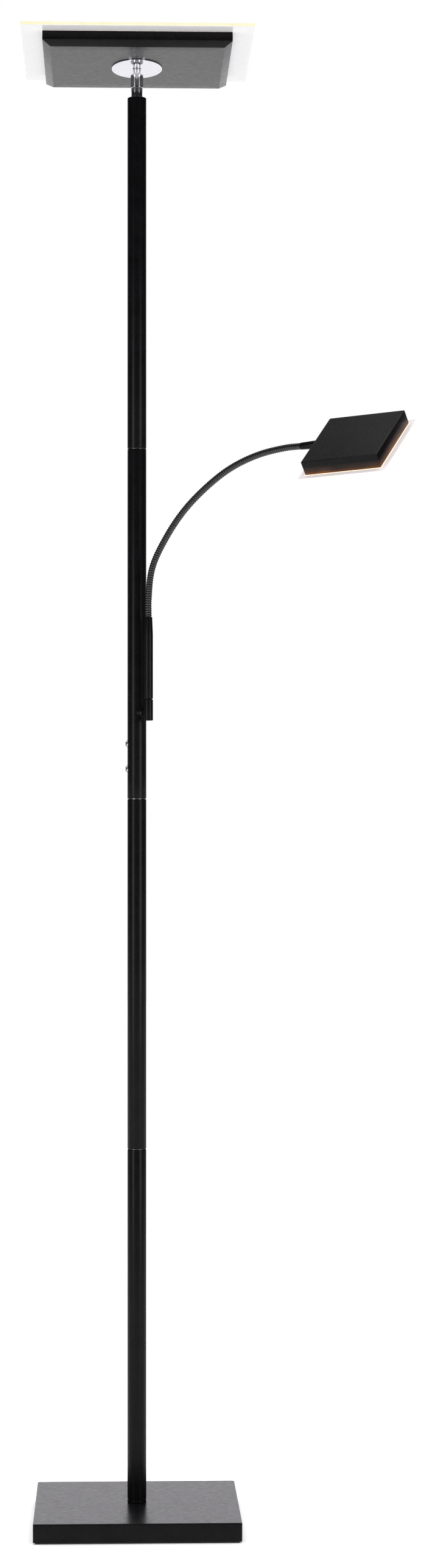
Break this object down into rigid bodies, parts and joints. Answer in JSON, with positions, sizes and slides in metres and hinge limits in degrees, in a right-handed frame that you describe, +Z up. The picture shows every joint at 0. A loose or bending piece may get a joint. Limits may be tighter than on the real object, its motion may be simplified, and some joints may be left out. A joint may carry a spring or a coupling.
{
  "type": "torchiere floor lamp",
  "caption": "Square torchiere floor lamp: slim pole on a square base, edge-lit uplighter on a ball joint, and a square reading head on a gooseneck arm.",
  "frame": {"origin": "middle of the underside of the base, on the pole's axis", "axes": "+Z up along the pole; -Y is the front, +X is to the right, and the base's and the uplighter's sides lie along X and Y"},
  "size_m": [0.4709, 0.3751, 1.8116],
  "materials": {
    "black_coat": "satin black coat",
    "chrome": "polished chrome plate",
    "steel": "zinc-plated steel",
    "cast_iron": "raw casting",
    "pad_foam": "matt non-slip foam",
    "rubber": "moulded rubber",
    "acrylic": "translucent acrylic, lit warm white",
    "white_plastic": "white moulding",
    "board": "white solder resist",
    "black_plastic": "gloss black",
    "nylon": "natural nylon",
    "wire": "sheathed wire"
  },
  "bodies": {
    "stand": {"base_pad": "pad_foam", "base_weight": "cast_iron", "base_cover": "black_coat", "led_driver": "white_plastic", "inlet_grommet": "rubber", "foot_nut": "steel", "foot_stud": "steel", "foot_ring": "black_coat", "foot_insert": "steel", "pole_section_1": "black_coat", "pole_section_2": "black_coat", "pole_section_3": "black_coat", "pole_section_4": "black_coat", "pole_coupler_1": "steel", "pole_coupler_2": "steel", "pole_coupler_3": "steel", "pole_top_cap": "black_coat", "pole_wire": "wire", "socket_base": "chrome", "arm_boss": "black_coat", "boss_stud": "steel", "boss_nut": "steel", "arm_knuckle": "black_coat", "button_bezel_upper": "steel", "button_bezel_lower": "steel", "switch_board": "board"},
    "swivel_cup": {"socket_cup": "chrome"},
    "tilt_liner": {"ball_liner": "nylon"},
    "uplighter": {"ball_stud": "chrome", "stud_collar": "chrome", "rosette": "chrome", "head_housing": "black_coat", "head_nut": "steel", "head_reflector": "white_plastic", "head_led_board": "board", "light_plate": "acrylic", "plate_screw_1": "steel", "plate_screw_2": "steel", "plate_screw_3": "steel", "plate_screw_4": "steel"},
    "arm": {"arm_tube": "black_coat", "hose_root": "black_coat"},
    "link_1": {"hose_link_1": "black_coat"},
    "link_2": {"hose_link_2": "black_coat"},
    "link_3": {"hose_link_3": "black_coat"},
    "link_4": {"hose_link_4": "black_coat"},
    "link_5": {"hose_link_5": "black_coat"},
    "link_6": {"hose_link_6": "black_coat"},
    "link_7": {"hose_link_7": "black_coat"},
    "neck_end": {"hose_end": "black_coat", "read_ferrule": "black_coat", "ferrule_nut": "steel"},
    "reading_head": {"read_housing": "black_coat", "read_led_board": "board", "read_plate": "acrylic"},
    "upper_button": {"button_upper": "black_plastic"},
    "lower_button": {"button_lower": "black_plastic"}
  },
  "joints": [
    {"name": "head_swivel", "type": "hinge", "parent": "stand", "child": "swivel_cup", "pos_m": [0, 0, 1.7658], "axis": [0, 0, 1], "range_deg": [-170, 170]},
    {"name": "head_nod", "type": "hinge", "parent": "swivel_cup", "child": "tilt_liner", "pos_m": [0, 0, 1.7765], "axis": [1, 0, 0], "range_deg": [-12, 12]},
    {"name": "head_lean", "type": "hinge", "parent": "tilt_liner", "child": "uplighter", "pos_m": [0, 0, 1.7765], "axis": [0, 1, 0], "range_deg": [-12, 12]},
    {"name": "arm_swivel", "type": "hinge", "parent": "stand", "child": "arm", "pos_m": [0.014, -0.02425, 1.012], "axis": [0, 0, 1], "range_deg": [-165, 100]},
    {"name": "neck_bend", "type": "hinge", "parent": "arm", "child": "link_1", "pos_m": [0.014, -0.02425, 1.13292], "axis": [0.5225, 0.8526, 0], "range_deg": [-16, 14]},
    {"name": "neck_side", "type": "hinge", "parent": "link_1", "child": "link_2", "pos_m": [0.01878, -0.02718, 1.17278], "axis": [0.7493, -0.4592, -0.4772], "range_deg": [-12, 12]},
    {"name": "neck_bend_2", "type": "hinge", "parent": "link_2", "child": "link_3", "pos_m": [0.03515, -0.03721, 1.20816], "axis": [0.5225, 0.8526, 0], "range_deg": [-16, 14]},
    {"name": "neck_side_2", "type": "hinge", "parent": "link_3", "child": "link_4", "pos_m": [0.05652, -0.0503, 1.23966], "axis": [0.5594, -0.3428, -0.7547], "range_deg": [-12, 12]},
    {"name": "neck_bend_3", "type": "hinge", "parent": "link_4", "child": "link_5", "pos_m": [0.08242, -0.06617, 1.26606], "axis": [0.5225, 0.8526, 0], "range_deg": [-16, 14]},
    {"name": "neck_side_3", "type": "hinge", "parent": "link_5", "child": "link_6", "pos_m": [0.11136, -0.08391, 1.28769], "axis": [0.2986, -0.183, -0.9367], "range_deg": [-12, 12]},
    {"name": "neck_bend_4", "type": "hinge", "parent": "link_6", "child": "link_7", "pos_m": [0.14351, -0.10361, 1.30178], "axis": [0.5225, 0.8526, 0], "range_deg": [-16, 14]},
    {"name": "neck_side_4", "type": "hinge", "parent": "link_7", "child": "neck_end", "pos_m": [0.17735, -0.12435, 1.30843], "axis": [0.0298, -0.0182, -0.9994], "range_deg": [-12, 12]},
    {"name": "reading_head_turn", "type": "hinge", "parent": "neck_end", "child": "reading_head", "pos_m": [0.21223, -0.14572, 1.30986], "axis": [0.8521, -0.5222, 0.0349], "range_deg": [-127.8, 52.2]},
    {"name": "upper_button_press", "type": "slide", "parent": "stand", "child": "upper_button", "axis": [1, 0, 0], "range_m": [0, 0.001], "stiffness_N_per_m": 1500},
    {"name": "lower_button_press", "type": "slide", "parent": "stand", "child": "lower_button", "axis": [1, 0, 0], "range_m": [0, 0.001], "stiffness_N_per_m": 1500}
  ],
  "couplings": [
    {"joint": "neck_bend_2", "follows": "neck_bend", "ratio": 1},
    {"joint": "neck_bend_3", "follows": "neck_bend", "ratio": 1},
    {"joint": "neck_bend_4", "follows": "neck_bend", "ratio": 1},
    {"joint": "neck_side_2", "follows": "neck_side", "ratio": 1},
    {"joint": "neck_side_3", "follows": "neck_side", "ratio": 1},
    {"joint": "neck_side_4", "follows": "neck_side", "ratio": 1}
  ]
}
